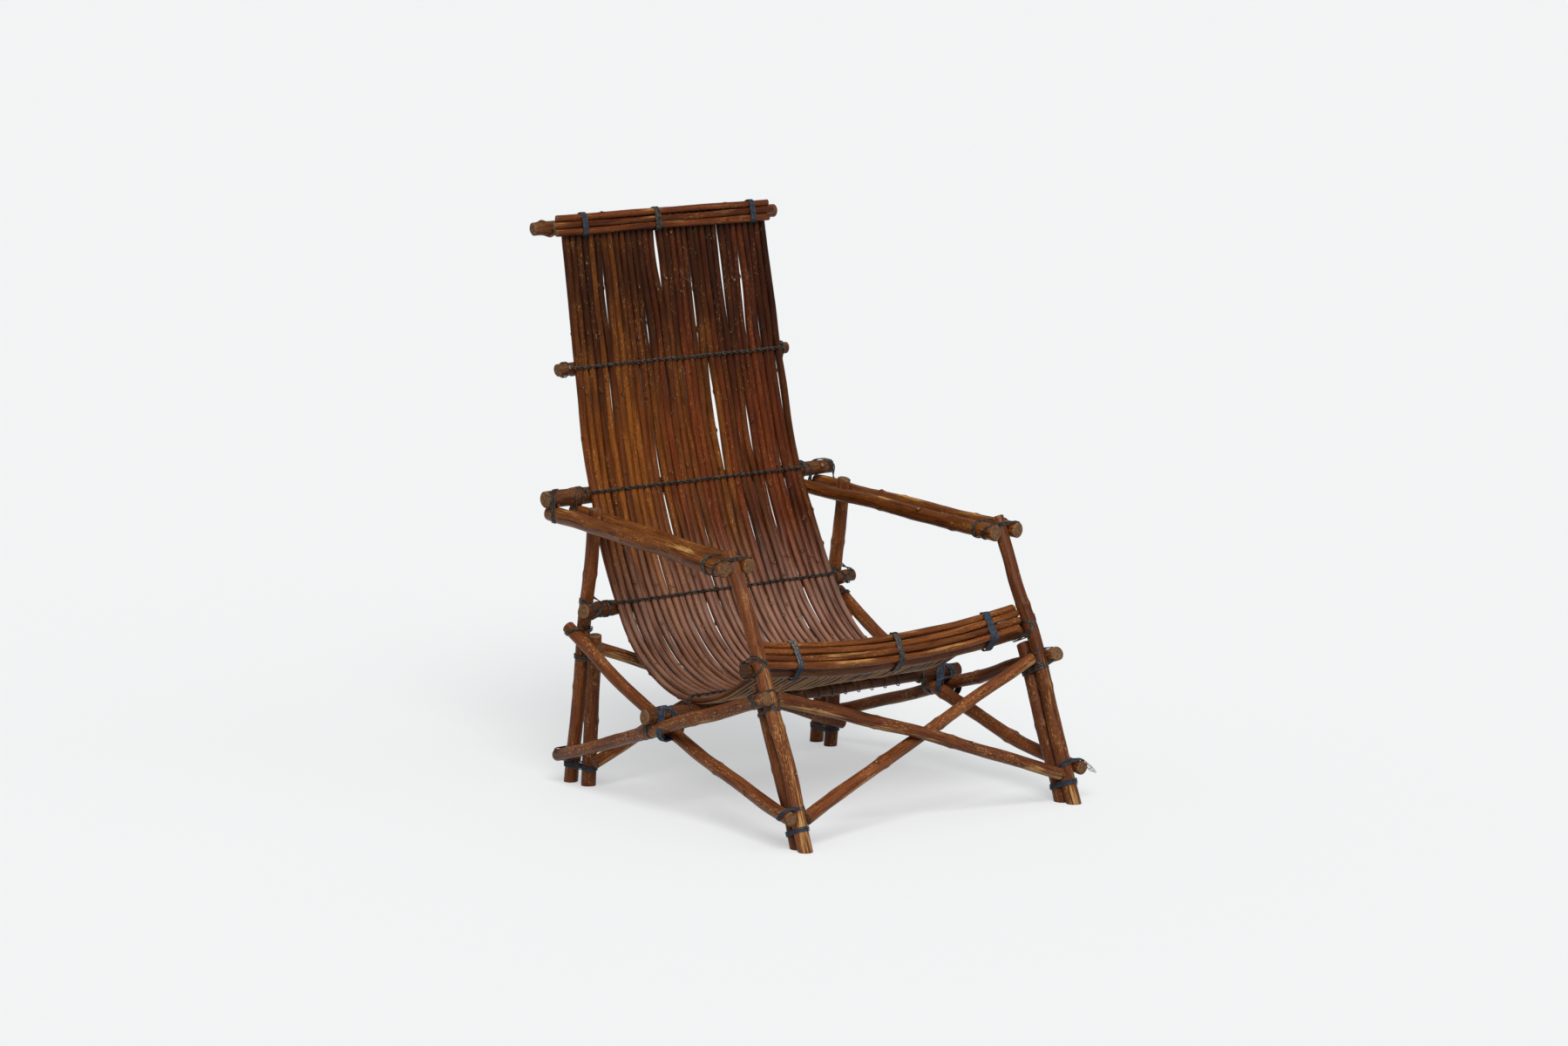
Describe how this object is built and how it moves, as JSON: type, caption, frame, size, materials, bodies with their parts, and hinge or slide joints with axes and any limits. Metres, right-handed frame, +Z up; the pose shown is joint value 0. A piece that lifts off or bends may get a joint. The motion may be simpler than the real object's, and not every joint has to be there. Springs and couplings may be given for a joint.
{
  "type": "lounge chair",
  "caption": "Low lounge chair of lashed wooden poles with a curved seat and back of thin bent rods, pole armrests and crossed leg braces.",
  "frame": {"origin": "on the floor under the middle of the chair's overall box", "axes": "+Z up, the sitter faces -Y, +X to the sitter's left"},
  "size_m": [0.7108, 0.8438, 1.0096],
  "materials": {
    "leg_wood": "varnished bark, scuffed",
    "arm_wood": "varnished, worn on top",
    "bar_wood": "varnished bark",
    "rod_wood": "varnished willow",
    "edge_wood": "varnished willow",
    "wire": "dark binding wire"
  },
  "bodies": {
    "root": {"arm_bar": "bar_wood", "arm_front_lashings": "wire", "arm_lacing": "wire", "arm_rear_lashings": "wire", "falling_side_brace_left": "leg_wood", "falling_side_brace_right": "leg_wood", "front_cross_brace_inner": "leg_wood", "front_cross_brace_outer": "leg_wood", "front_edge_lashings": "wire", "front_edge_rod_1": "edge_wood", "front_edge_rod_2": "edge_wood", "front_edge_rod_3": "edge_wood", "front_edge_rod_4": "edge_wood", "front_edge_rod_5": "edge_wood", "front_foot_lashings": "wire", "front_joint_lashings": "wire", "front_post_left": "leg_wood", "front_post_right": "leg_wood", "front_rail": "bar_wood", "front_rail_lashings": "wire", "front_short_leg_left": "leg_wood", "front_short_leg_right": "leg_wood", "inner_arm_left": "arm_wood", "inner_arm_right": "arm_wood", "lumbar_bar": "bar_wood", "lumbar_lacing": "wire", "lumbar_lashings": "wire", "mat_rods_01": "rod_wood", "mat_rods_02": "rod_wood", "mat_rods_03": "rod_wood", "mat_rods_04": "rod_wood", "mat_rods_05": "rod_wood", "mat_rods_06": "rod_wood", "mat_rods_07": "rod_wood", "mat_rods_08": "rod_wood", "mat_rods_09": "rod_wood", "mat_rods_10": "rod_wood", "mat_rods_11": "rod_wood", "outer_arm_left": "arm_wood", "outer_arm_right": "arm_wood", "rear_cross_brace_inner": "leg_wood", "rear_cross_brace_outer": "leg_wood", "rear_foot_lashings": "wire", "rear_joint_lashings": "wire", "rear_post_left": "leg_wood", "rear_post_right": "leg_wood", "rear_short_leg_left": "leg_wood", "rear_short_leg_right": "leg_wood", "rising_side_brace_left": "leg_wood", "rising_side_brace_right": "leg_wood", "seat_bar": "bar_wood", "seat_lacing": "wire", "side_crossing_lashings": "wire", "top_bar": "bar_wood", "top_edge_lashings": "wire", "top_edge_rod_1": "edge_wood", "top_edge_rod_2": "edge_wood", "top_edge_rod_3": "edge_wood", "upper_back_bar": "bar_wood", "upper_lacing": "wire"}
  },
  "joints": []
}
